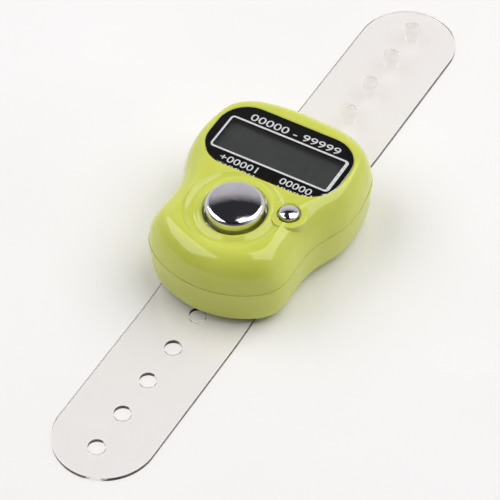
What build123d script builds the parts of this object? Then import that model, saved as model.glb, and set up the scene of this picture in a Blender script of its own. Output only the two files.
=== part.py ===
from build123d import *
from math import atan, cos, degrees, radians, sin
import os

# Finger tally counter: a two-part plastic case with a five-digit display and two sprung buttons,
# worn on a clear strap that runs through two bars under the case and fastens stud in hole.
# Millimetres. +Z is up and +Y runs along the strap, from its holes to its studs. The parts are
# drawn about the middle of the case, and moved at the end so that the origin is on the surface
# that the counter lies on, under the middle of the whole length.

# ---- driving dimensions -------------------------------------------------------------------
CASE_TOP = 14.9          # flat top of the case
PARTING = 8.4            # height of the joint between the two case halves
WALL = 1.5               # side wall
CEILING = 13.1           # underside of the top wall
FLOOR_TOP = 2.95         # inner floor of the back case
BOTTOM_ROUND = 3.5       # rounding of the case's bottom edge
DRAFT = 0.3              # lean of the back case's wall
PARTING_STEP = 0.12      # the top case stands this far inside the back case

STRAP_WIDTH = 18.0
STRAP_THICK = 0.9
STRAP_HOLE_END = -59.2   # tip of the half with the holes
STRAP_STUD_END = 63.4    # tip of the half with the studs
STRAP_X = 0.3            # the strap lies this far to one side in its channel
HOLE_R = 1.5
HOLE_PITCH = 8.05
FIRST_HOLE, FIRST_STUD = -20.8, 32.2

BOARD_BOTTOM, BOARD_TOP = 7.6, 8.4
COUNT_Y, COUNT_R, COUNT_RIM, COUNT_CROWN = -7.2, 5.15, 16.1, 0.5
RESET_X, RESET_Y, RESET_R, RESET_RIM, RESET_CROWN = 8.6, -3.9, 1.75, 15.1, 0.35
WINDOW_Y, WINDOW_WIDTH, WINDOW_LENGTH, WINDOW_CORNER = 7.8, 25.8, 14.3, 5.6
WINDOW_THICK, MASK_THICK = 1.0, 0.1
DISPLAY_Y = 7.5
CELL_R, CELL_THICK = 5.8, 3.05      # LR1130 button cell
SHAFT_FIT = 0.05                    # radial gap of the screws in their holes

# Half of the case outline at the parting, from the display end round to the thumb end:
# x, y, and how far the flat top is set in from the wall there.
OUTLINE = [
    (0.0, 20.05, 3.4),
    (6.45, 19.65, 3.4),
    (11.0, 18.2, 3.1),
    (14.2, 15.4, 2.8),
    (15.6, 11.2, 2.6),
    (16.1, 6.5, 2.9),
    (15.5, 1.9, 4.0),
    (13.85, -2.5, 5.0),
    (13.1, -6.6, 5.0),
    (13.2, -10.6, 4.8),
    (12.6, -15.0, 4.6),
    (9.4, -18.4, 4.4),
    (4.9, -20.4, 4.4),
    (0.0, -21.1, 4.4),
]


# ---- plain shapes -------------------------------------------------------------------------
def cylinder(x, y, radius, low, high):
    return Pos(x, y, (low + high) / 2) * Cylinder(radius, high - low)


def tube(x, y, outer, inner, low, high):
    return cylinder(x, y, outer, low, high) - cylinder(x, y, inner, low, high)


def block(x, y, width, length, low, high):
    return Pos(x, y, (low + high) / 2) * Box(width, length, high - low)


def rounded_block(x, y, width, length, corner, low, high):
    return extrude(Pos(x, y, low) * RectangleRounded(width, length, corner), high - low)


def turned(x, y, profile):
    """Solid of revolution about a vertical axis, from (radius, z) corners."""
    face = make_face(Polyline(*[(r, 0, z) for r, z in profile], close=True))
    return Pos(x, y, 0) * revolve(face, Axis.Z)


def sector(radius, middle, sweep, low, high):
    """Pie slice about the battery axis, its middle at the given angle."""
    first = Vector(radius, 0).rotate(Axis.Z, middle - sweep / 2)
    centre = Vector(radius, 0).rotate(Axis.Z, middle)
    last = Vector(radius, 0).rotate(Axis.Z, middle + sweep / 2)
    edges = [Line((0, 0), first), ThreePointArc(first, centre, last), Line(last, (0, 0))]
    return extrude(Pos(0, 0, low) * make_face(edges), high - low)


def bent_strip(x, width, thick, route):
    """Sheet-metal strip of one width, bent along a (y, z) route."""
    lower = [(0, y, z) for y, z in route]
    upper = [(0, y, z + thick) for y, z in reversed(route)]
    profile = make_face(Polyline(*lower, *upper, close=True))
    return Pos(x, 0, 0) * extrude(profile, width / 2, both=True)


# ---- the case's outer and inner form ------------------------------------------------------
def outline_face(inset, z, shoulder_share=0.0):
    """The case outline, set in along its normal, as a face at height z."""
    left = [(-x, y, shoulder) for x, y, shoulder in reversed(OUTLINE[1:-1])]
    ring = OUTLINE + left
    points = []
    for i, (x, y, shoulder) in enumerate(ring):
        before, after = ring[i - 1], ring[(i + 1) % len(ring)]
        along = Vector(after[0] - before[0], after[1] - before[1]).normalized()
        depth = inset + shoulder * shoulder_share
        points.append((x + along.Y * depth, y - along.X * depth))
    return Pos(0, 0, z) * make_face(Spline(*points, periodic=True))


def upper_form(inset, top):
    """Solid above the parting: a quarter ellipse from the wall up to a flat top."""
    sections = []
    for angle in (0, 18, 36, 54, 72, 90):
        rise = (top - PARTING) * sin(radians(angle))
        sections.append(outline_face(inset, PARTING + rise, 1 - cos(radians(angle))))
    return loft(sections)


def lower_form(inset, bottom):
    """Solid below the parting: a leaning wall, rounded in to a flat bottom."""
    sections = []
    foot = bottom + BOTTOM_ROUND
    for share in (0, 0.25, 0.5, 0.75):
        height = PARTING - share * (PARTING - foot)
        sections.append(outline_face(inset + share * DRAFT, height))
    for angle in (0, 22.5, 45, 67.5, 90):
        height = foot - BOTTOM_ROUND * sin(radians(angle))
        inward = inset + DRAFT + BOTTOM_ROUND * (1 - cos(radians(angle)))
        sections.append(outline_face(inward, height))
    return loft(sections)


def prism(inset, low, high):
    return extrude(outline_face(inset, low), high - low)


# ---- screws that hold the case together and clamp the board -------------------------------
SCREW_SPOTS = [(-6.2, -14.8), (6.2, -14.8), (-5.4, 16.4), (5.4, 16.4)]
SCREW_HEAD_R, SCREW_R = 1.45, 0.8
SCREW_HEAD_LOW, SCREW_HEAD_HIGH = 2.0, 2.9
SCREW_TIP = 11.2
POST_R, BOSS_R = 1.8, 1.6


def make_screw(x, y):
    head = cylinder(x, y, SCREW_HEAD_R, SCREW_HEAD_LOW, SCREW_HEAD_HIGH)
    for turn in (0, 90):
        head -= Pos(x, y, SCREW_HEAD_LOW) * Rot(Z=turn) * Box(1.7, 0.4, 0.9)
    shank = cylinder(x, y, SCREW_R, SCREW_HEAD_HIGH - 0.1, SCREW_TIP - 0.8)
    tip = Pos(x, y, SCREW_TIP - 0.4) * Cone(SCREW_R, 0.3, 0.8)
    return head + shank + tip


# ---- top case -----------------------------------------------------------------------------
SEAT_TILT = 4.5          # the finger seat falls this many degrees towards the thumb end
SEAT_START_Y = -0.6
RIM_CHAMFER = 0.25       # broken edge of the button holes and the window recess
COUNT_HOLE_R, RESET_HOLE_R = 5.6, 2.1
COUNT_FLANGE_R, RESET_FLANGE_R = 6.2, 2.45
LAND_R, LAND_TOP = 3.3, 14.7        # round land that carries the reset button
VIEW_WIDTH, VIEW_LENGTH = 23.7, 9.2  # display opening under the window


def broken_edge(x, y, hole_r):
    """Cone that chamfers a button hole at the case's top face."""
    high = CASE_TOP + RIM_CHAMFER
    cone = Cone(hole_r - RIM_CHAMFER, hole_r + 2 * RIM_CHAMFER, 3 * RIM_CHAMFER)
    return Pos(x, y, high - 1.5 * RIM_CHAMFER) * cone


def seat_cutter():
    """Ring-shaped dish round the count button, with a low lip at the hole and a steep outer wall."""
    lip, outer = (COUNT_HOLE_R + 0.15, 0.16), (9.2, 2.0)
    dish = [(6.05, 0.28), (6.45, 0.16), (7.0, -0.1), (7.6, -0.15), (8.3, 0.05), (8.85, 0.5), (9.1, 1.1)]
    section = [(r, 0, z) for r, z in [lip, *dish, outer]]
    closing = Polyline(section[-1], (outer[0], 0, 4), (0, 0, 4), (0, 0, -0.3), (5.3, 0, -0.3), section[0])
    cutter = revolve(make_face([Spline(*section), *closing.edges()]), Axis.Z)
    along = (COUNT_Y - SEAT_START_Y) / cos(radians(SEAT_TILT))
    return Pos(0, SEAT_START_Y, CASE_TOP) * Rot(X=SEAT_TILT) * Pos(0, along, 0) * cutter


def make_top_case():
    shell = upper_form(PARTING_STEP, CASE_TOP) - upper_form(WALL, CEILING)
    # rebate that takes the lip of the back case
    shell -= prism(0.8, PARTING - 0.1, PARTING + 1.1)
    # screw bosses, pressing on the board
    for x, y in SCREW_SPOTS:
        shell += cylinder(x, y, BOSS_R, BOARD_TOP, CEILING + 0.2)
        shell -= cylinder(x, y, SCREW_R + SHAFT_FIT, BOARD_TOP - 0.1, SCREW_TIP + 0.2)
    # finger seat, deeper towards the thumb end
    shell -= seat_cutter()
    # land of the reset button
    land = cylinder(RESET_X, RESET_Y, LAND_R, CEILING - 1.2, LAND_TOP)
    shell += fillet(land.edges().group_by(Axis.Z)[-1], 0.3)
    shell -= cylinder(RESET_X, RESET_Y, RESET_FLANGE_R + 0.2, PARTING, CEILING)
    shell -= cylinder(RESET_X, RESET_Y, RESET_HOLE_R, CEILING - 1, CASE_TOP + 1)
    shell -= broken_edge(RESET_X, RESET_Y, RESET_HOLE_R)
    # count button hole, and room for the button's flange under it
    shell -= cylinder(0, COUNT_Y, COUNT_HOLE_R, CEILING - 1, CASE_TOP + 1)
    shell -= broken_edge(0, COUNT_Y, COUNT_HOLE_R)
    shell -= cylinder(0, COUNT_Y, COUNT_FLANGE_R + 0.25, PARTING, CEILING)
    # recess for the window, and the opening that the display is seen through
    recess = CASE_TOP - WINDOW_THICK - MASK_THICK - 0.02
    shell -= rounded_block(0, WINDOW_Y, WINDOW_WIDTH + 0.2, WINDOW_LENGTH + 0.2,
                           WINDOW_CORNER + 0.1, recess, CASE_TOP + 1)
    rim = Pos(0, WINDOW_Y, CASE_TOP - 0.15)
    rim *= RectangleRounded(WINDOW_WIDTH + 0.2, WINDOW_LENGTH + 0.2, WINDOW_CORNER + 0.1)
    shell -= extrude(rim, 0.2, taper=-45)
    shell -= rounded_block(0, DISPLAY_Y, VIEW_WIDTH, VIEW_LENGTH, 0.6, CEILING - 1, CASE_TOP)
    # clearance for the corners of the display
    shell -= rounded_block(0, DISPLAY_Y, GLASS_WIDTH + 1.6, GLASS_LENGTH + 1.6, 2.4, PARTING, CEILING)
    return shell


# ---- back case ----------------------------------------------------------------------------
STRAP_LOW = 0.85
CHANNEL_WIDTH = STRAP_WIDTH + 1.2
CHANNEL_TOP = 1.85
BAR_Y, BAR_LENGTH, BAR_THICK = 9.6, 2.4, 0.75
DOOR_R, PLUG_R, DOOR_SEAT = 7.0, 6.0, 2.4
LUG_R, LUG_LOW, LUG_HIGH, LUG_SWEEP = 6.95, 3.03, 3.5, 40
CRADLE_R, CRADLE_TOP = 7.9, 6.2


def make_back_case():
    shell = lower_form(0, 0) - lower_form(WALL, FLOOR_TOP)
    # lip that centres the two halves
    shell += prism(0.88, PARTING - 0.6, PARTING + 1.0) - prism(WALL, PARTING - 0.7, PARTING + 1.1)
    # strap channel, and the two bars that the strap passes over
    shell -= block(0, 0, CHANNEL_WIDTH, 60, -1, CHANNEL_TOP)
    for y in (-BAR_Y, BAR_Y):
        shell += block(0, y, CHANNEL_WIDTH + 0.6, BAR_LENGTH, 0, BAR_THICK)
    # battery cradle, undercut for the door's lugs
    shell += tube(0, 0, CRADLE_R, CELL_R + 0.2, LUG_HIGH + 0.15, CRADLE_TOP)
    shell += tube(0, 0, CRADLE_R, LUG_R + 0.15, FLOOR_TOP - 0.1, LUG_HIGH + 0.15)
    # door opening, its seat, and the entry notches of the lugs
    shell -= cylinder(0, 0, PLUG_R + 0.1, 1, FLOOR_TOP + 0.1)
    shell -= cylinder(0, 0, DOOR_R + 0.1, 1, DOOR_SEAT)
    for middle in (90, 270):
        shell -= sector(LUG_R + 0.1, middle, LUG_SWEEP + 6, 1, FLOOR_TOP + 0.1)
    # slot for the positive contact
    shell -= block(0, 6.9, 3.6, 2.6, LUG_HIGH + 0.1, CRADLE_TOP + 1)
    # screw posts
    for x, y in SCREW_SPOTS:
        shell += cylinder(x, y, POST_R, CHANNEL_TOP + 0.05, BOARD_BOTTOM)
        shell -= cylinder(x, y, SCREW_HEAD_R + 0.1, 1, SCREW_HEAD_HIGH)
        shell -= cylinder(x, y, SCREW_R + SHAFT_FIT, 1, BOARD_BOTTOM + 1)
    return shell


# ---- battery and its door -----------------------------------------------------------------
CELL_LOW = 3.52
CELL_HIGH = CELL_LOW + CELL_THICK
GASKET_THICK = 0.35


def make_battery_door():
    """Disc with two bayonet lugs and a coin slot; shown locked, lugs across the notches."""
    door = cylinder(0, 0, DOOR_R, CHANNEL_TOP + 0.02, DOOR_SEAT - 0.05)
    door += cylinder(0, 0, PLUG_R, DOOR_SEAT - 0.1, LUG_HIGH)
    for middle in (0, 180):
        door += sector(LUG_R, middle, LUG_SWEEP, LUG_LOW, LUG_HIGH)
    return door - block(0, 0, 8.0, 1.3, 1, CHANNEL_TOP + 0.5)


def make_battery():
    rim = CELL_HIGH - 0.35
    can = turned(0, 0, [
        (0, CELL_LOW), (CELL_R - 0.3, CELL_LOW), (CELL_R, CELL_LOW + 0.3), (CELL_R, rim),
        (CELL_R - 0.3, rim), (CELL_R - 0.3, CELL_LOW + 0.8), (0, CELL_LOW + 0.8),
    ])
    inner = CELL_R - 0.3 - GASKET_THICK
    gasket = tube(0, 0, CELL_R - 0.3, inner, CELL_LOW + 0.8, rim)
    cap = turned(0, 0, [
        (0, CELL_LOW + 0.8), (inner, CELL_LOW + 0.8), (inner, rim - 0.1),
        (inner - 0.45, CELL_HIGH), (0, CELL_HIGH),
    ])
    return can, gasket, cap


def make_positive_contact():
    """Spring strip soldered under the board and bearing on the side of the can."""
    strip = block(0, CELL_R + 0.13, 3.0, 0.2, LUG_HIGH + 0.6, BOARD_BOTTOM)
    tab = block(0, CELL_R + 1.3, 3.0, 2.5, BOARD_BOTTOM - 0.2, BOARD_BOTTOM)
    return strip + tab


def make_negative_contact():
    """Leaf soldered under the board, bent down on to the cell's cap."""
    route = [(-10.5, 7.4), (-7.0, 7.4), (-2.0, CELL_HIGH + 0.03), (2.0, CELL_HIGH + 0.03)]
    return bent_strip(0, 3.0, 0.2, route)


# ---- circuit board and display ------------------------------------------------------------
BOARD_INSET = 2.3
GLASS_WIDTH, GLASS_LENGTH, GLASS_THICK = 23.8, 10.6, 0.55
FILM_THICK = 0.2
LEDGE = 1.7              # strip of the front glass that carries the terminals
DISPLAY_TOP = CEILING - 0.1


def make_board():
    board = prism(BOARD_INSET, BOARD_BOTTOM, BOARD_TOP)
    for x, y in SCREW_SPOTS:
        board -= cylinder(x, y, SCREW_R + 0.2, BOARD_BOTTOM - 1, BOARD_TOP + 1)
    return board


def make_chip_blob():
    dome = Pos(4.5, DISPLAY_Y, BOARD_TOP - 3.55) * Sphere(4.7)
    return dome & block(4.5, DISPLAY_Y, 12, 12, BOARD_TOP, BOARD_TOP + 3)


def make_chip_parts():
    """Two capacitors and a resistor beside the chip, each with soldered ends."""
    bodies = []
    for y in (DISPLAY_Y - 2.5, DISPLAY_Y, DISPLAY_Y + 2.5):
        bodies.append(block(-4.5, y, 1.6, 0.8, BOARD_TOP, BOARD_TOP + 0.7))
    return bodies


def make_display():
    """Front film, front glass, rear glass and reflector, from the top down."""
    front_film_low = DISPLAY_TOP - FILM_THICK
    front_low = front_film_low - GLASS_THICK
    rear_low = front_low - GLASS_THICK
    back_y = DISPLAY_Y + LEDGE / 2
    rear_length = GLASS_LENGTH - LEDGE
    front_film = block(0, back_y, GLASS_WIDTH - 0.8, rear_length - 0.4, front_film_low, DISPLAY_TOP)
    front = block(0, DISPLAY_Y, GLASS_WIDTH, GLASS_LENGTH, front_low, front_film_low)
    rear = block(0, back_y, GLASS_WIDTH, rear_length, rear_low, front_low)
    reflector = block(0, back_y, GLASS_WIDTH - 0.8, rear_length - 0.4, rear_low - FILM_THICK, rear_low)
    ledge_y = DISPLAY_Y - GLASS_LENGTH / 2 + LEDGE / 2
    zebra = block(0, ledge_y, GLASS_WIDTH - 2.0, 1.2, BOARD_TOP, front_low)
    return front_film, front, rear, reflector, zebra


def make_display_holder():
    """Frame on the board that carries the glass and holds the zebra strip upright."""
    top = DISPLAY_TOP - FILM_THICK - GLASS_THICK - 0.05
    width, length = GLASS_WIDTH + 1.2, GLASS_LENGTH + 1.2
    frame = rounded_block(0, DISPLAY_Y, width, length, 2.2, BOARD_TOP, top)
    frame -= block(0, DISPLAY_Y, GLASS_WIDTH - 1.6, GLASS_LENGTH - 0.1, BOARD_TOP - 1, top + 1)
    frame -= block(0, DISPLAY_Y, GLASS_WIDTH + 0.1, GLASS_LENGTH + 0.1, top - 0.85, top + 1)
    return frame


def make_window():
    low = CASE_TOP - WINDOW_THICK
    return rounded_block(0, WINDOW_Y, WINDOW_WIDTH, WINDOW_LENGTH, WINDOW_CORNER, low, CASE_TOP)


def make_window_mask():
    high = CASE_TOP - WINDOW_THICK
    mask = rounded_block(0, WINDOW_Y, WINDOW_WIDTH, WINDOW_LENGTH, WINDOW_CORNER,
                         high - MASK_THICK, high)
    return mask - rounded_block(0, DISPLAY_Y, 22.2, 7.4, 0.4, high - 1, high + 1)


# ---- buttons, rubber domes and contact pills ----------------------------------------------
COUNT_TRAVEL, RESET_TRAVEL = 0.9, 0.7
DOME_HEIGHT = 1.9


def make_button(x, y, radius, rim, crown, flange_r, rim_round):
    """Domed cap with a rounded rim, straight skirt through the case, retaining flange and stem."""
    low = CEILING - 0.7
    ball = (radius ** 2 + crown ** 2) / (2 * crown)
    cap = cylinder(x, y, radius, low, rim + crown) & (Pos(x, y, rim + crown - ball) * Sphere(ball))
    cap = fillet(cap.edges().filter_by_position(Axis.Z, rim - 0.01, rim + 0.01), rim_round)
    flange = cylinder(x, y, flange_r, low, CEILING - 0.15)
    stem = cylinder(x, y, min(1.5, radius - 0.4), BOARD_TOP + DOME_HEIGHT + 0.03, low + 0.1)
    return cap + flange + stem


def make_rubber_dome(x, y, foot_r, top_r):
    """Hollow rubber cone with a flat top and a flange on the board."""
    high = BOARD_TOP + DOME_HEIGHT
    return turned(x, y, [
        (0, high), (top_r, high), (top_r + 0.3, high - 0.3), (foot_r - 0.5, BOARD_TOP + 0.5),
        (foot_r, BOARD_TOP + 0.5), (foot_r, BOARD_TOP), (foot_r - 1.0, BOARD_TOP),
        (top_r - 0.2, high - 0.5), (0, high - 0.5),
    ])


def make_pill(x, y, radius):
    high = BOARD_TOP + DOME_HEIGHT - 0.52
    return cylinder(x, y, radius, high - 0.4, high)


# ---- strap --------------------------------------------------------------------------------
# Joints of the strap: along the strap, and the height of its underside there.
HOLE_JOINTS = [(-12.8, STRAP_LOW), (-24.8, 0.0), (-40.9, 0.0)]
STUD_JOINTS = [(12.2, STRAP_LOW), (28.2, 0.0), (44.2, 0.0)]
JOINT_GAP = 0.12
STUD_NECK_R, STUD_HEAD_R, STUD_HEIGHT = 1.3, 1.6, 2.6


def flat_strap():
    """The whole strap laid flat at height zero, with every hole and stud."""
    half = STRAP_WIDTH / 2
    length = STRAP_STUD_END - STRAP_HOLE_END
    middle = (STRAP_STUD_END + STRAP_HOLE_END) / 2
    strap = extrude(Pos(0, middle) * Rot(Z=90) * SlotOverall(length, 2 * half), STRAP_THICK)
    for i in range(5):
        strap -= cylinder(0, FIRST_HOLE - i * HOLE_PITCH, HOLE_R, -1, STRAP_THICK + 1)
    top = STRAP_THICK + STUD_HEIGHT
    for i in range(4):
        strap += turned(0, FIRST_STUD + i * HOLE_PITCH, [
            (0, 0), (STUD_NECK_R, 0), (STUD_NECK_R, STRAP_THICK + 1.1),
            (STUD_HEAD_R, STRAP_THICK + 1.5), (STUD_HEAD_R, top - 0.7),
            (STUD_HEAD_R - 0.25, top - 0.25), (STUD_HEAD_R - 0.8, top), (0, top),
        ])
    return strap


def strap_piece(strap, near, far, lift_from=None):
    """The strap between two places. A sloping piece is laid down from its joint to the floor."""
    low, high = near + JOINT_GAP / 2, far - JOINT_GAP / 2
    piece = strap & block(0, (low + high) / 2, STRAP_WIDTH + 2, high - low, -5, 10)
    if lift_from is not None:
        foot = far if lift_from == near else near
        slope = degrees(atan(STRAP_LOW / (foot - lift_from)))
        piece = Pos(0, foot, 0) * Rot(X=-slope) * Pos(0, -foot, 0) * piece
    return Pos(STRAP_X, 0, 0) * piece


def make_strap():
    strap = flat_strap()
    hole_ys = [y for y, _ in HOLE_JOINTS]
    stud_ys = [y for y, _ in STUD_JOINTS]
    middle = Pos(0, 0, STRAP_LOW) * strap_piece(strap, hole_ys[0], stud_ys[0])
    return {
        "strap_middle": middle,
        "strap_hole_link_1": strap_piece(strap, hole_ys[1], hole_ys[0], hole_ys[0]),
        "strap_hole_link_2": strap_piece(strap, hole_ys[2], hole_ys[1]),
        "strap_hole_link_3": strap_piece(strap, STRAP_HOLE_END - 1, hole_ys[2]),
        "strap_stud_link_1": strap_piece(strap, stud_ys[0], stud_ys[1], stud_ys[0]),
        "strap_stud_link_2": strap_piece(strap, stud_ys[1], stud_ys[2]),
        "strap_stud_link_3": strap_piece(strap, stud_ys[2], STRAP_STUD_END + 1),
    }


# ---- the whole counter --------------------------------------------------------------------
def make_parts():
    battery_can, battery_gasket, battery_cap = make_battery()
    front_film, front_glass, rear_glass, reflector, zebra = make_display()
    parts = {
        "top_case": make_top_case(),
        "back_case": make_back_case(),
        "display_window": make_window(),
        "window_mask": make_window_mask(),
        "lcd_front_polariser": front_film,
        "lcd_front_glass": front_glass,
        "lcd_rear_glass": rear_glass,
        "lcd_reflector": reflector,
        "lcd_holder": make_display_holder(),
        "zebra_strip": zebra,
        "circuit_board": make_board(),
        "chip_blob": make_chip_blob(),
        "board_chip_parts": Compound(make_chip_parts()),
        "count_button": make_button(0, COUNT_Y, COUNT_R, COUNT_RIM, COUNT_CROWN, COUNT_FLANGE_R, 0.9),
        "count_dome": make_rubber_dome(0, COUNT_Y, 4.0, 1.7),
        "count_contact_pill": make_pill(0, COUNT_Y, 1.2),
        "reset_button": make_button(RESET_X, RESET_Y, RESET_R, RESET_RIM, RESET_CROWN, RESET_FLANGE_R, 0.45),
        "reset_dome": make_rubber_dome(RESET_X, RESET_Y, 2.6, 1.0),
        "reset_contact_pill": make_pill(RESET_X, RESET_Y, 0.7),
        "battery_can": battery_can,
        "battery_gasket": battery_gasket,
        "battery_cap": battery_cap,
        "battery_positive_contact": make_positive_contact(),
        "battery_negative_contact": make_negative_contact(),
        "battery_door": make_battery_door(),
        "case_screws": Compound([make_screw(x, y) for x, y in SCREW_SPOTS]),
    }
    parts.update(make_strap())
    return parts


os.makedirs("parts", exist_ok=True)
to_origin = Pos(0, -(STRAP_HOLE_END + STRAP_STUD_END) / 2, 0)
for name, solid in make_parts().items():
    export_step(to_origin * solid, f"parts/{name}.step")
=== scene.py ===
from math import cos, pi, radians, sin
import bmesh
import bpy
from mathutils import Matrix, Vector


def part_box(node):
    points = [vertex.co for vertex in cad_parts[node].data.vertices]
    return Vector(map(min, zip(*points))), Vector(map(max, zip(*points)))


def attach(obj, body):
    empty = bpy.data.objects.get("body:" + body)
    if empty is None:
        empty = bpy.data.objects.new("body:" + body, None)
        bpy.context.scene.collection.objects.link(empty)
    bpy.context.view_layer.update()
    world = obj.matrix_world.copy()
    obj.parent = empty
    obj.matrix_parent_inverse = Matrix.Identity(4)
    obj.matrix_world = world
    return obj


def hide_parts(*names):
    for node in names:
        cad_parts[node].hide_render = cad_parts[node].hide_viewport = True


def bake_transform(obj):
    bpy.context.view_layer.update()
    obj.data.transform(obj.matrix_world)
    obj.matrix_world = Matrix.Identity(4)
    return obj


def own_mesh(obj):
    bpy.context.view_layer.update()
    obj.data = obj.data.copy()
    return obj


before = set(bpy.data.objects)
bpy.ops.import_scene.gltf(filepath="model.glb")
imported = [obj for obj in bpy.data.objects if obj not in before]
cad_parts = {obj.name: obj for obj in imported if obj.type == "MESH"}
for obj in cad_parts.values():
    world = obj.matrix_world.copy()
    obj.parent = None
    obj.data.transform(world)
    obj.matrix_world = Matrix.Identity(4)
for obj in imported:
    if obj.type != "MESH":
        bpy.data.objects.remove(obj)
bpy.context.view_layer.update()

MM = 0.001

# ---- Case halves and battery door ---------------------------------------------------------
# Three lime-green ABS mouldings, polished in the mould and slightly translucent. The top case
# sits a hair inside the back case's rim, and the door turns in the back with a coin.


def new_material(name):
    material = bpy.data.materials.new(name)
    material.use_nodes = True
    return material, material.node_tree, material.node_tree.nodes["Principled BSDF"]


def noise(tree, size, detail=2.0, stretch=(1, 1, 1)):
    """Cloudy value of about 0.3 to 0.7, with lumps of the given size in metres."""
    place = tree.nodes.new("ShaderNodeTexCoord")
    spread = tree.nodes.new("ShaderNodeMapping")
    spread.inputs["Scale"].default_value = stretch
    cloud = tree.nodes.new("ShaderNodeTexNoise")
    cloud.inputs["Scale"].default_value = 1 / size
    cloud.inputs["Detail"].default_value = detail
    tree.links.new(place.outputs["Object"], spread.inputs["Vector"])
    tree.links.new(spread.outputs["Vector"], cloud.inputs["Vector"])
    return cloud.outputs["Fac"]


def ramp(tree, value, low, high, start=0.3, end=0.7):
    """The value from start to end turned into low to high, a number or a colour."""
    if isinstance(low, tuple):
        fade = tree.nodes.new("ShaderNodeValToRGB")
        fade.color_ramp.elements[0].position = start
        fade.color_ramp.elements[1].position = end
        fade.color_ramp.elements[0].color = (*low, 1)
        fade.color_ramp.elements[1].color = (*high, 1)
        tree.links.new(value, fade.inputs["Fac"])
        return fade.outputs["Color"]
    fade = tree.nodes.new("ShaderNodeMapRange")
    fade.inputs["From Min"].default_value = start
    fade.inputs["From Max"].default_value = end
    fade.inputs["To Min"].default_value = low
    fade.inputs["To Max"].default_value = high
    tree.links.new(value, fade.inputs["Value"])
    return fade.outputs["Result"]


def bump(tree, shader, value, height):
    """Relief of the given height in metres on the shader's surface."""
    relief = tree.nodes.new("ShaderNodeBump")
    relief.inputs["Strength"].default_value = 1.0
    relief.inputs["Distance"].default_value = height
    tree.links.new(value, relief.inputs["Height"])
    tree.links.new(relief.outputs["Normal"], shader.inputs["Normal"])


def finish_node(node, material):
    """Gives a CAD node its finish."""
    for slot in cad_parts[node].material_slots:
        slot.material = material


lime, tree, shader = new_material("lime_abs")
tree.links.new(ramp(tree, noise(tree, 9 * MM), (0.565, 0.605, 0.088), (0.615, 0.655, 0.115)),
               shader.inputs["Base Color"])
tree.links.new(ramp(tree, noise(tree, 2.2 * MM, 4), 0.08, 0.14), shader.inputs["Roughness"])
bump(tree, shader, noise(tree, 1.4 * MM, 3), 0.006 * MM)
shader.inputs["IOR"].default_value = 1.53
shader.inputs["Subsurface Weight"].default_value = 0.35
shader.inputs["Subsurface Radius"].default_value = (1.0, 1.0, 0.25)
shader.inputs["Subsurface Scale"].default_value = 1.2 * MM
for node in ("top_case", "back_case", "battery_door"):
    finish_node(node, lime)

# ---- Circuit board, chip and small parts --------------------------------------------------
# A thin fibreglass board in green solder mask, clamped between the screw posts. The counter chip
# is under a drop of black resin, with two capacitors and a resistor soldered beside it.
board, tree, shader = new_material("solder_mask")
weave = tree.nodes.new("ShaderNodeTexVoronoi")
weave.distance = "CHEBYCHEV"
weave.inputs["Scale"].default_value = 1 / (1.6 * MM)
spot = tree.nodes.new("ShaderNodeTexCoord")
tree.links.new(spot.outputs["Object"], weave.inputs["Vector"])
mask_over_copper, mask_over_board = (0.030, 0.170, 0.070), (0.014, 0.098, 0.040)
tree.links.new(ramp(tree, weave.outputs["Distance"], mask_over_copper, mask_over_board, 0.30, 0.36),
               shader.inputs["Base Color"])
tree.links.new(ramp(tree, noise(tree, 0.5 * MM), 0.3, 0.42), shader.inputs["Roughness"])
bump(tree, shader, weave.outputs["Distance"], 0.02 * MM)
finish_node("circuit_board", board)

resin, tree, shader = new_material("chip_resin")
shader.inputs["Base Color"].default_value = (0.012, 0.012, 0.014, 1)
tree.links.new(ramp(tree, noise(tree, 0.6 * MM, 3), 0.22, 0.4), shader.inputs["Roughness"])
bump(tree, shader, noise(tree, 0.9 * MM), 0.04 * MM)
finish_node("chip_blob", resin)

ceramic, tree, shader = new_material("ceramic_with_tinned_ends")
chip_low, chip_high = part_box("board_chip_parts")
along = tree.nodes.new("ShaderNodeSeparateXYZ")
spot = tree.nodes.new("ShaderNodeTexCoord")
tree.links.new(spot.outputs["Object"], along.inputs["Vector"])
middle_x = (chip_low.x + chip_high.x) / 2
away = tree.nodes.new("ShaderNodeMath")
away.operation = "SUBTRACT"
away.inputs[1].default_value = middle_x
tree.links.new(along.outputs["X"], away.inputs[0])
size = tree.nodes.new("ShaderNodeMath")
size.operation = "ABSOLUTE"
tree.links.new(away.outputs["Value"], size.inputs[0])
tin_start, tin_full = 0.5 * MM, 0.5 * MM + 0.02 * MM
body_brown, tin_grey = (0.34, 0.24, 0.14), (0.72, 0.72, 0.70)
tree.links.new(ramp(tree, size.outputs["Value"], body_brown, tin_grey, tin_start, tin_full),
               shader.inputs["Base Color"])
tree.links.new(ramp(tree, size.outputs["Value"], 0.0, 1.0, tin_start, tin_full),
               shader.inputs["Metallic"])
tree.links.new(ramp(tree, noise(tree, 0.2 * MM), 0.3, 0.5), shader.inputs["Roughness"])
finish_node("board_chip_parts", ceramic)

# ---- Display -------------------------------------------------------------------------------
# A blank liquid crystal cell: a grey polarising film, two thin glasses, and a satin reflector.
# It stands in a white moulded frame, on a striped rubber strip that carries its contacts.
film, tree, shader = new_material("polarising_film")
tree.links.new(ramp(tree, noise(tree, 5 * MM, 2), (0.022, 0.025, 0.022), (0.028, 0.032, 0.028)),
               shader.inputs["Base Color"])
tree.links.new(ramp(tree, noise(tree, 1.2 * MM, 3), 0.42, 0.5), shader.inputs["Roughness"])
shader.inputs["Specular IOR Level"].default_value = 0.3
finish_node("lcd_front_polariser", film)


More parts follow.
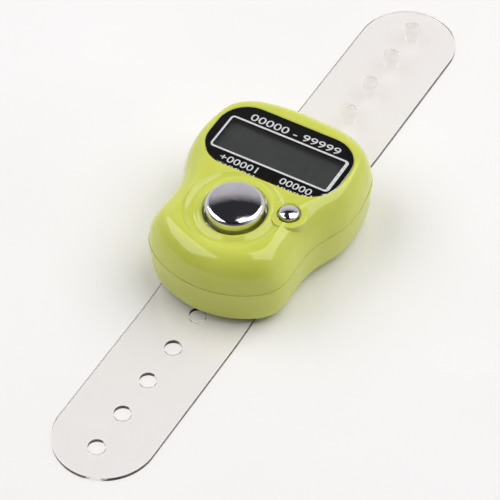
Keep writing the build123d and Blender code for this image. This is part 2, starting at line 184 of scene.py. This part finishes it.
def clear_shader(material_name, tint, index, shadow_tint):
    """Clear solid that bends what is seen through it and lets the lamps' light through."""
    material, tree, shader = new_material(material_name)
    shader.inputs["Base Color"].default_value = (*tint, 1)
    shader.inputs["Transmission Weight"].default_value = 1.0
    shader.inputs["IOR"].default_value = index
    passing = tree.nodes.new("ShaderNodeBsdfTransparent")
    passing.inputs["Color"].default_value = (*shadow_tint, 1)
    ray = tree.nodes.new("ShaderNodeLightPath")
    seen = shader.outputs["BSDF"]
    for kind in ("Is Diffuse Ray", "Is Shadow Ray"):
        either = tree.nodes.new("ShaderNodeMixShader")
        tree.links.new(ray.outputs[kind], either.inputs["Fac"])
        tree.links.new(seen, either.inputs[1])
        tree.links.new(passing.outputs["BSDF"], either.inputs[2])
        seen = either.outputs["Shader"]
    tree.links.new(seen, tree.nodes["Material Output"].inputs["Surface"])
    return material, tree, shader


glass, tree, shader = clear_shader(
    "display_glass", (0.90, 0.95, 0.93), 1.52, (0.92, 0.95, 0.94))
tree.links.new(ramp(tree, noise(tree, 2 * MM, 3), 0.0, 0.05), shader.inputs["Roughness"])
finish_node("lcd_front_glass", glass)
finish_node("lcd_rear_glass", glass)

satin, tree, shader = new_material("satin_reflector")
brushed = noise(tree, 0.2 * MM, 2, (1, 12, 1))
tree.links.new(ramp(tree, brushed, (0.42, 0.45, 0.42), (0.52, 0.55, 0.51)),
               shader.inputs["Base Color"])
shader.inputs["Metallic"].default_value = 0.8
tree.links.new(ramp(tree, noise(tree, 0.15 * MM), 0.35, 0.5), shader.inputs["Roughness"])
finish_node("lcd_reflector", satin)

frame_white, tree, shader = new_material("white_moulding")
tree.links.new(ramp(tree, noise(tree, 3 * MM, 3), (0.70, 0.70, 0.65), (0.78, 0.78, 0.74)),
               shader.inputs["Base Color"])
tree.links.new(ramp(tree, noise(tree, 0.3 * MM, 4), 0.4, 0.55), shader.inputs["Roughness"])
bump(tree, shader, noise(tree, 0.15 * MM, 3), 0.01 * MM)
finish_node("lcd_holder", frame_white)

zebra, tree, shader = new_material("striped_rubber")
stripes = tree.nodes.new("ShaderNodeTexWave")
stripes.bands_direction = "X"
STRIPE_PITCH = 0.2 * MM
stripes.inputs["Scale"].default_value = 0.314 / STRIPE_PITCH  # one wave is 0.314 / Scale long
spot = tree.nodes.new("ShaderNodeTexCoord")
tree.links.new(spot.outputs["Object"], stripes.inputs["Vector"])
carbon_black, rubber_blue = (0.02, 0.02, 0.02), (0.22, 0.42, 0.52)
tree.links.new(ramp(tree, stripes.outputs["Fac"], carbon_black, rubber_blue, 0.45, 0.55),
               shader.inputs["Base Color"])
tree.links.new(ramp(tree, noise(tree, 0.3 * MM), 0.5, 0.65), shader.inputs["Roughness"])
finish_node("zebra_strip", zebra)

# ---- Rubber domes and contact pills --------------------------------------------------------
# Under each button a hollow silicone dome returns it, and a pill of carbon-filled rubber inside
# the dome closes two tracks on the board.
silicone, tree, shader = new_material("silicone")
tree.links.new(ramp(tree, noise(tree, 2 * MM, 3), (0.60, 0.59, 0.55), (0.70, 0.69, 0.65)),
               shader.inputs["Base Color"])
tree.links.new(ramp(tree, noise(tree, 0.4 * MM, 3), 0.45, 0.6), shader.inputs["Roughness"])
bump(tree, shader, noise(tree, 0.3 * MM, 3), 0.01 * MM)
shader.inputs["Subsurface Weight"].default_value = 0.2
shader.inputs["Subsurface Scale"].default_value = 0.8 * MM
DOME_HEIGHT, DOME_WALL = 1.9 * MM, 0.5 * MM


def piece_from(bm, name, *materials):
    """The bmesh as a finished piece at the origin."""
    mesh = bpy.data.meshes.new(name)
    bm.to_mesh(mesh)
    bm.free()
    piece = bpy.data.objects.new(name, mesh)
    bpy.context.collection.objects.link(piece)
    for material in materials:
        mesh.materials.append(material)
    return piece


def rubber_dome(name, node, top_r):
    """Hollow cone turned about the button's axis, fixed to the case."""
    low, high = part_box(node)
    x, y = (low.x + high.x) / 2, (low.y + high.y) / 2
    foot_z, foot_r = low.z, (high.x - low.x) / 2
    top_z = foot_z + DOME_HEIGHT
    profile = [(0, top_z), (top_r, top_z), (top_r + 0.3 * MM, top_z - 0.3 * MM),
               (foot_r - 0.5 * MM, foot_z + DOME_WALL), (foot_r, foot_z + DOME_WALL),
               (foot_r, foot_z), (foot_r - 1.0 * MM, foot_z), (top_r - 0.2 * MM, top_z - DOME_WALL),
               (0, top_z - DOME_WALL)]
    bm = bmesh.new()
    corners = [bm.verts.new((x + r, y, z)) for r, z in profile]
    edges = [bm.edges.new(pair) for pair in zip(corners, corners[1:])]
    bmesh.ops.spin(bm, geom=corners + edges, cent=(x, y, 0), axis=(0, 0, 1), angle=2 * pi, steps=48,
                   use_merge=True)
    bmesh.ops.remove_doubles(bm, verts=bm.verts, dist=0.001 * MM)
    bmesh.ops.recalc_face_normals(bm, faces=bm.faces)
    dome = piece_from(bm, name, silicone)
    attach(dome, "case")
    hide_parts(node)
    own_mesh(dome)


rubber_dome("count_rubber_dome", "count_dome", 1.7 * MM)
rubber_dome("reset_rubber_dome", "reset_dome", 1.0 * MM)

carbon, tree, shader = new_material("carbon_rubber")
tree.links.new(ramp(tree, noise(tree, 0.2 * MM, 4), (0.010, 0.010, 0.010), (0.035, 0.035, 0.035)),
               shader.inputs["Base Color"])
tree.links.new(ramp(tree, noise(tree, 0.3 * MM), 0.55, 0.75), shader.inputs["Roughness"])
finish_node("count_contact_pill", carbon)
finish_node("reset_contact_pill", carbon)

# ---- Battery and its contacts --------------------------------------------------------------
# A button cell: a pressed steel can, a nylon gasket and a steel cap, plated with nickel. Two
# springs of plated bronze, soldered under the board, bear on the can and on the cap.


def metal(name, dark, light, lump, stretch, smooth, dull):
    """Brushed or pressed metal, its lines drawn out along one axis."""
    material, tree, shader = new_material(name)
    tree.links.new(ramp(tree, noise(tree, lump, 3, stretch), dark, light),
                   shader.inputs["Base Color"])
    tree.links.new(ramp(tree, noise(tree, lump / 2, 3, stretch), smooth, dull),
                   shader.inputs["Roughness"])
    shader.inputs["Metallic"].default_value = 1.0
    bump(tree, shader, noise(tree, lump, 3, stretch), 0.004 * MM)
    return material


nickel = metal("nickel_plate", (0.62, 0.61, 0.58), (0.74, 0.73, 0.70),
               0.4 * MM, (1, 6, 1), 0.18, 0.3)
finish_node("battery_can", nickel)
finish_node("battery_cap", nickel)

nylon, tree, shader = new_material("gasket_nylon")
tree.links.new(ramp(tree, noise(tree, 1 * MM), (0.08, 0.12, 0.34), (0.12, 0.17, 0.42)),
               shader.inputs["Base Color"])
tree.links.new(ramp(tree, noise(tree, 0.3 * MM), 0.4, 0.55), shader.inputs["Roughness"])
finish_node("battery_gasket", nylon)

spring = metal("plated_spring", (0.70, 0.60, 0.38), (0.80, 0.70, 0.48),
               0.3 * MM, (8, 1, 1), 0.2, 0.34)
finish_node("battery_positive_contact", spring)
finish_node("battery_negative_contact", spring)

# ---- Case screws ---------------------------------------------------------------------------
# Four small cross-head screws of zinc-plated steel, sunk in the back case above the strap. They
# pass through the board and bite in the top case's bosses.
zinc = metal("zinc_plate", (0.52, 0.52, 0.50), (0.68, 0.68, 0.66),
             0.25 * MM, (1, 1, 10), 0.22, 0.38)
finish_node("case_screws", zinc)

# ---- Window and its print ------------------------------------------------------------------
# A clear acrylic window flush with the top, and behind it a film printed black. A pale frame
# line, wider at the reset button's end, and small figures are printed on the window's back.
acrylic, tree, shader = clear_shader(
    "window_acrylic", (0.985, 0.99, 0.99), 1.49, (0.97, 0.97, 0.97))
tree.links.new(ramp(tree, noise(tree, 3 * MM, 5), 0.0, 0.04), shader.inputs["Roughness"])
finish_node("display_window", acrylic)

ink, tree, shader = new_material("black_ink")
tree.links.new(ramp(tree, noise(tree, 1.5 * MM, 4), (0.002, 0.002, 0.003), (0.005, 0.005, 0.006)),
               shader.inputs["Base Color"])
tree.links.new(ramp(tree, noise(tree, 0.4 * MM, 3), 0.45, 0.6), shader.inputs["Roughness"])
shader.inputs["Specular IOR Level"].default_value = 0.05
finish_node("window_mask", ink)

pale_ink, tree, shader = new_material("pale_ink")
tree.links.new(ramp(tree, noise(tree, 0.5 * MM, 4), (0.56, 0.55, 0.57), (0.74, 0.73, 0.75)),
               shader.inputs["Base Color"])
tree.links.new(ramp(tree, noise(tree, 0.2 * MM, 3), 0.4, 0.6), shader.inputs["Roughness"])

window_low, window_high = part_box("display_window")
window_y = (window_low.y + window_high.y) / 2
INK_THICK = 0.03 * MM
print_z = window_low.z - 0.005 * MM


def rounded_ring(bm, left, right, low, high, radius):
    """Closed loop of edges round a rectangle with rounded corners, anticlockwise."""
    corners = ((right, high, 0), (left, high, 1), (left, low, 2), (right, low, 3))
    steps = 6
    ring = []
    for x, y, quarter in corners:
        centre_x = x - radius if x == right else x + radius
        centre_y = y - radius if y == high else y + radius
        for step in range(steps + 1):
            turn = (quarter + step / steps) * pi / 2
            place = (centre_x + radius * cos(turn), centre_y + radius * sin(turn), print_z)
            ring.append(bm.verts.new(place))
    return [bm.edges.new((ring[i - 1], ring[i])) for i in range(len(ring))]


def frame_line():
    """Pale line printed round the display."""
    bm = bmesh.new()
    left, right = -11.6 * MM, 11.75 * MM
    low, high = window_y - 4.1 * MM, window_y + 4.05 * MM
    thin, wide = 0.38 * MM, 0.62 * MM
    outer_corner, inner_corner = 0.8 * MM, 0.35 * MM
    edges = rounded_ring(bm, left, right, low, high, outer_corner)
    edges += rounded_ring(bm, left + thin, right - wide, low + thin, high - thin, inner_corner)
    bmesh.ops.bridge_loops(bm, edges=edges)
    bmesh.ops.recalc_face_normals(bm, faces=bm.faces)
    grown = bmesh.ops.extrude_face_region(bm, geom=bm.faces[:])
    bmesh.ops.translate(bm, verts=[g for g in grown["geom"] if isinstance(g, bmesh.types.BMVert)],
                        vec=(0, 0, INK_THICK))
    bmesh.ops.recalc_face_normals(bm, faces=bm.faces)
    return piece_from(bm, "window_frame_line", pale_ink)


def legend(name, text, x_from, x_to, y_low, height):
    """Printed figures between two places along X, standing on y_low."""
    letters = bpy.data.curves.new(name, "FONT")
    letters.body = text
    letters.extrude = INK_THICK / 2
    letters.offset = 0.004  # strokes a little bolder
    letters.resolution_u = 4
    lines = bpy.data.objects.new(name + "_lines", letters)
    bpy.context.collection.objects.link(lines)
    evaluated = lines.evaluated_get(bpy.context.evaluated_depsgraph_get())
    flat = bpy.data.meshes.new_from_object(evaluated)
    bpy.data.objects.remove(lines)
    bm = bmesh.new()
    bm.from_mesh(flat)
    xs = [v.co.x for v in bm.verts]
    ys = [v.co.y for v in bm.verts]
    wide = (x_to - x_from) / (max(xs) - min(xs))
    tall = height / (max(ys) - min(ys))
    bmesh.ops.translate(bm, verts=bm.verts, vec=(-min(xs), -min(ys), 0))
    bmesh.ops.scale(bm, verts=bm.verts, vec=(wide, tall, 1))
    bmesh.ops.translate(bm, verts=bm.verts, vec=(x_from, y_low, print_z + INK_THICK / 2))
    bmesh.ops.remove_doubles(bm, verts=bm.verts, dist=0.0005 * MM)
    bmesh.ops.recalc_face_normals(bm, faces=bm.faces)
    return piece_from(bm, name, pale_ink)


upper_y, lower_y = window_y + 4.45 * MM, window_y - 6.2 * MM
upper_height, lower_height = 1.6 * MM, 1.45 * MM
prints = [
    frame_line(),
    legend("legend_range", "00000 - 99999", -8.5 * MM, 9.1 * MM, upper_y, upper_height),
    legend("legend_count", "+00001", -8.5 * MM, -1.2 * MM, lower_y, lower_height),
    legend("legend_reset", "00000", 3.3 * MM, 9.4 * MM, lower_y, lower_height),
]
for piece in prints:
    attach(piece, "case")

# ---- Buttons -------------------------------------------------------------------------------
# Two domed caps moulded in ABS and chrome plated, the large one to count and the small one to
# reset. The plating shows a faint waviness of the plastic below it.
chrome, tree, shader = new_material("chrome_plate")
tree.links.new(ramp(tree, noise(tree, 2.5 * MM, 3), (0.74, 0.73, 0.77), (0.82, 0.81, 0.84)),
               shader.inputs["Base Color"])
shader.inputs["Metallic"].default_value = 1.0
tree.links.new(ramp(tree, noise(tree, 0.5 * MM, 4), 0.03, 0.075), shader.inputs["Roughness"])
bump(tree, shader, noise(tree, 1.1 * MM, 2), 0.004 * MM)
finish_node("count_button", chrome)
finish_node("reset_button", chrome)

# ---- Strap ---------------------------------------------------------------------------------
# One flexible moulding in clear polyurethane, with five holes on one half and four studs on the
# other. It runs through the back case over two bars, and its halves slope down to the table.
STRAP_WIDTH, STRAP_THICK = 18 * MM, 0.9 * MM
STRAP_X = 0.3 * MM
TIP_Y = 61.3 * MM
HOLE_R, STUD_NECK_R, PITCH = 1.5 * MM, 1.3 * MM, 8.05 * MM
HOLES, STUDS = 5, 4
FIRST_HOLE_Y, FIRST_STUD_Y = -22.9 * MM, 30.1 * MM
BAR_TOP = 0.85 * MM


def ring_at(bm, y, radius, segments):
    ring = bmesh.ops.create_circle(bm, segments=segments, radius=radius)["verts"]
    bmesh.ops.translate(bm, verts=ring, vec=(0, y, 0))
    return ring


def raise_stud(bm, y):
    """Mushroom stud grown from the disc at its foot, ring by ring."""
    # radius and height above the strap: top of the neck, head, and its rounded tip
    rings = [(1.3, 1.1), (1.6, 1.5), (1.6, 2.2), (1.35, 2.7), (0.8, 2.9)]
    last_radius, last_height = rings[0][0], 0
    foot = Vector((0, y, STRAP_THICK))
    tops = [f for f in bm.faces if f.calc_center_median().z > STRAP_THICK - 1e-6]
    discs = [f for f in tops if len(f.verts) > 20]
    face = min(discs, key=lambda f: (f.calc_center_median() - foot).length)
    for radius, height in rings:
        grow, rise = radius / last_radius, (height - last_height) * MM
        grown = bmesh.ops.extrude_face_region(bm, geom=[face])["geom"]
        verts = [g for g in grown if isinstance(g, bmesh.types.BMVert)]
        bmesh.ops.translate(bm, verts=verts, vec=(0, 0, rise))
        bmesh.ops.scale(bm, verts=verts, vec=(grow, grow, 1), space=Matrix.Translation((0, -y, 0)))
        face = [g for g in grown if isinstance(g, bmesh.types.BMFace)][0]
        last_radius, last_height = radius, height


def flat_strap():
    """The whole strap laid flat on z = 0."""
    bm = bmesh.new()
    outline = ring_at(bm, 0, STRAP_WIDTH / 2, 96)
    bmesh.ops.rotate(bm, verts=outline, matrix=Matrix.Rotation(pi / 96, 3, "Z"))
    reach = TIP_Y - STRAP_WIDTH / 2
    for side in (-1, 1):
        half = [v for v in outline if v.co.y * side > 0]
        bmesh.ops.translate(bm, verts=half, vec=(0, side * reach, 0))
    for i in range(HOLES):
        ring_at(bm, FIRST_HOLE_Y - i * PITCH, HOLE_R, 36)
    stud_ys = [FIRST_STUD_Y + i * PITCH for i in range(STUDS)]
    necks = [ring_at(bm, y, STUD_NECK_R, 36) for y in stud_ys]
    bmesh.ops.triangle_fill(bm, edges=bm.edges[:], use_beauty=True)
    for neck in necks:
        if not any(set(neck) == set(f.verts) for f in bm.faces):
            bm.faces.new(neck)
    bmesh.ops.recalc_face_normals(bm, faces=bm.faces)
    grown = bmesh.ops.extrude_face_region(bm, geom=bm.faces[:])["geom"]
    bmesh.ops.translate(bm, verts=[g for g in grown if isinstance(g, bmesh.types.BMVert)],
                        vec=(0, 0, STRAP_THICK))
    bmesh.ops.recalc_face_normals(bm, faces=bm.faces)
    for y in stud_ys:
        raise_stud(bm, y)
    sharp = [e for e in bm.edges if len(e.link_faces) == 2 and e.calc_face_angle(0) > radians(60)
             and abs(e.verts[0].co.z - e.verts[1].co.z) < 1e-7]
    bmesh.ops.bevel(bm, geom=sharp, offset=0.12 * MM, offset_type="OFFSET", affect="EDGES",
                    segments=2, profile=0.5, material=-1, clamp_overlap=True)
    return bm


def lift(y):
    """Height of the strap's underside: over the bars in the middle, then down to the table."""
    slopes = ((-13.4 * MM, -26.5 * MM), (8.9 * MM, 25.6 * MM))
    for near, far in slopes:
        share = (y - near) / (far - near)
        if share > 0 and y * far > 0:
            share = min(share, 1)
            return BAR_TOP * (1 - share * share * (3 - 2 * share))
    return BAR_TOP


clear, tree, shader = clear_shader(
    "clear_polyurethane", (0.988, 0.982, 0.977), 1.36, (0.965, 0.957, 0.95))
tree.links.new(ramp(tree, noise(tree, 6 * MM, 4), 0.05, 0.13), shader.inputs["Roughness"])
bump(tree, shader, noise(tree, 3 * MM, 3), 0.012 * MM)

inside_cut, tree, shader = new_material("inside_of_strap")
open_air = tree.nodes.new("ShaderNodeBsdfTransparent")
tree.links.new(open_air.outputs["BSDF"], tree.nodes["Material Output"].inputs["Surface"])

whole_strap = flat_strap()
whole_mesh = bpy.data.meshes.new("whole_strap")
whole_strap.to_mesh(whole_mesh)
whole_strap.free()

# Where the strap is cut across, from the tip with the holes to the tip with the studs.
cuts = [-TIP_Y - MM, -34.98 * MM, -19.0 * MM, -2.4 * MM, 18.0 * MM, 34.13 * MM, TIP_Y + MM]
# Each length between two cuts: name, bodies before and after its joint, joint, nodes replaced.
lengths = [
    ("strap_hole_tip", "strap_hole_3", "strap_hole_2", "strap_hole_bend_3", ["strap_hole_link_3"]),
    ("strap_hole_half", "strap_hole_2", "strap_hole_1", "strap_hole_bend_2", ["strap_hole_link_2"]),
    ("strap_hole_root", "strap_hole_1", "strap_middle", "strap_hole_bend_1", ["strap_hole_link_1"]),
    ("strap_stud_root", "strap_middle", "strap_stud_1", "strap_stud_bend_1",
     ["strap_middle", "strap_stud_link_1"]),
    ("strap_stud_half", "strap_stud_1", "strap_stud_2", "strap_stud_bend_2", ["strap_stud_link_2"]),
    ("strap_stud_tip", "strap_stud_2", "strap_stud_3", "strap_stud_bend_3", ["strap_stud_link_3"]),
]
# Spacing of the lines cut across the strap.
CROSSWISE_STEP = 1.2 * MM
for i, (name, before, after, joint, nodes) in enumerate(lengths):
    bm = bmesh.new()
    bm.from_mesh(whole_mesh)
    for y, side in ((cuts[i], -1), (cuts[i + 1], 1)):
        everything = bm.verts[:] + bm.edges[:] + bm.faces[:]
        bmesh.ops.bisect_plane(bm, geom=everything, dist=1e-7, plane_co=(0, y, 0),
                               plane_no=(0, side, 0), clear_outer=True)
        rim = [e for e in bm.edges if e.is_boundary]
        if rim:
            caps = bmesh.ops.contextual_create(bm, geom=rim)["faces"]
            for cap in caps:
                cap.material_index = 1
    crosswise = int((cuts[i + 1] - cuts[i]) / CROSSWISE_STEP)
    for k in range(1, crosswise):
        y = cuts[i] + k * CROSSWISE_STEP
        everything = bm.verts[:] + bm.edges[:] + bm.faces[:]
        bmesh.ops.bisect_plane(bm, geom=everything, dist=1e-7, plane_co=(0, y, 0),
                               plane_no=(0, 1, 0))
    for v in bm.verts:
        v.co.z += lift(v.co.y)
    bmesh.ops.translate(bm, verts=bm.verts, vec=(STRAP_X, 0, 0))
    bmesh.ops.recalc_face_normals(bm, faces=bm.faces)
    piece = piece_from(bm, name, clear, inside_cut)
    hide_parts(*nodes)
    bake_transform(piece)

# ---- Table top, light and camera ----------------------------------------------------------
# A pale seamless sheet, two softboxes overhead, and a long lens looking down from the thumb end.
bpy.ops.mesh.primitive_plane_add(size=4, location=(0, 0, -0.03 * MM))
table = bpy.context.object
table.name = "table"
paper, tree, shader = new_material("seamless_paper")
tree.links.new(ramp(tree, noise(tree, 60 * MM, 2), (0.855, 0.84, 0.825), (0.885, 0.87, 0.86)),
               shader.inputs["Base Color"])
shader.inputs["Roughness"].default_value = 0.75
table.data.materials.append(paper)

azimuth, elevation, roll = radians(31.1), radians(48.3), radians(-1.3)
CAMERA_AWAY = 501.5 * MM
back = Vector((sin(azimuth) * cos(elevation), -cos(azimuth) * cos(elevation), sin(elevation)))
right = Vector((cos(azimuth), sin(azimuth), 0))
up = back.cross(right)
lens_right = right * cos(roll) + up * sin(roll)
lens_up = up * cos(roll) - right * sin(roll)
target = Vector((0.23, -5.1, 0)) * MM
place = target + back * CAMERA_AWAY
camera_data = bpy.data.cameras.new("camera")
camera_data.sensor_width = 36
camera_data.lens = 208.5
camera_data.clip_start = 0.05
camera = bpy.data.objects.new("camera", camera_data)
bpy.context.collection.objects.link(camera)
turn = Matrix((lens_right, lens_up, back)).transposed()
camera.matrix_world = Matrix.Translation(place) @ turn.to_4x4()
bpy.context.scene.camera = camera

# The studio: pale walls up to about 45 degrees, a dark ceiling, and a dim side towards the thumb
# end, as a brightness for each direction.
world = bpy.data.worlds.new("studio")
world.use_nodes = True
tree = world.node_tree
aim = tree.nodes.new("ShaderNodeTexCoord")
parts = tree.nodes.new("ShaderNodeSeparateXYZ")
tree.links.new(aim.outputs["Generated"], parts.inputs["Vector"])
height = tree.nodes.new("ShaderNodeValToRGB")
stops = height.color_ramp.elements
stops[0].position, stops[0].color = 0.0, (0.80, 0.80, 0.84, 1)
stops[1].position, stops[1].color = 1.0, (0.03, 0.03, 0.035, 1)
middle_stops = [
    (0.45, (0.66, 0.65, 0.69, 1)),
    (0.64, (0.50, 0.48, 0.50, 1)),
    (0.75, (0.03, 0.03, 0.035, 1)),
]
for level, shade in middle_stops:
    stop = stops.new(level)
    stop.color = shade
tree.links.new(parts.outputs["Z"], height.inputs["Fac"])
tree.links.new(height.outputs["Color"], tree.nodes["Background"].inputs["Color"])
towards_thumb = tree.nodes.new("ShaderNodeVectorMath")
towards_thumb.operation = "DOT_PRODUCT"
towards_thumb.inputs[1].default_value = (0.10, -0.99, 0)
tree.links.new(aim.outputs["Generated"], towards_thumb.inputs[0])
tree.links.new(ramp(tree, towards_thumb.outputs["Value"], 1.0, 0.12, 0.0, 0.6),
               tree.nodes["Background"].inputs["Strength"])
bpy.context.scene.world = world

# name, direction to the lamp, width and length of its face, power
softboxes = [
    ("softbox_left", Vector((-0.56, -0.24, 0.80)), 0.66, 0.38, 2.1),
    ("softbox_right", Vector((0.38, 0.33, 0.87)), 0.60, 0.60, 3.0),
]
LAMP_AWAY = 0.62
for name, toward, width, length, power in softboxes:
    lamp = bpy.data.lights.new(name, type="AREA")
    lamp.shape = "RECTANGLE"
    lamp.size, lamp.size_y = width, length
    lamp.energy = power
    holder = bpy.data.objects.new(name, lamp)
    holder.location = toward.normalized() * LAMP_AWAY
    holder.rotation_euler = toward.to_track_quat("Z", "Y").to_euler()
    bpy.context.collection.objects.link(holder)
bpy.context.scene.view_settings.view_transform = "Standard"
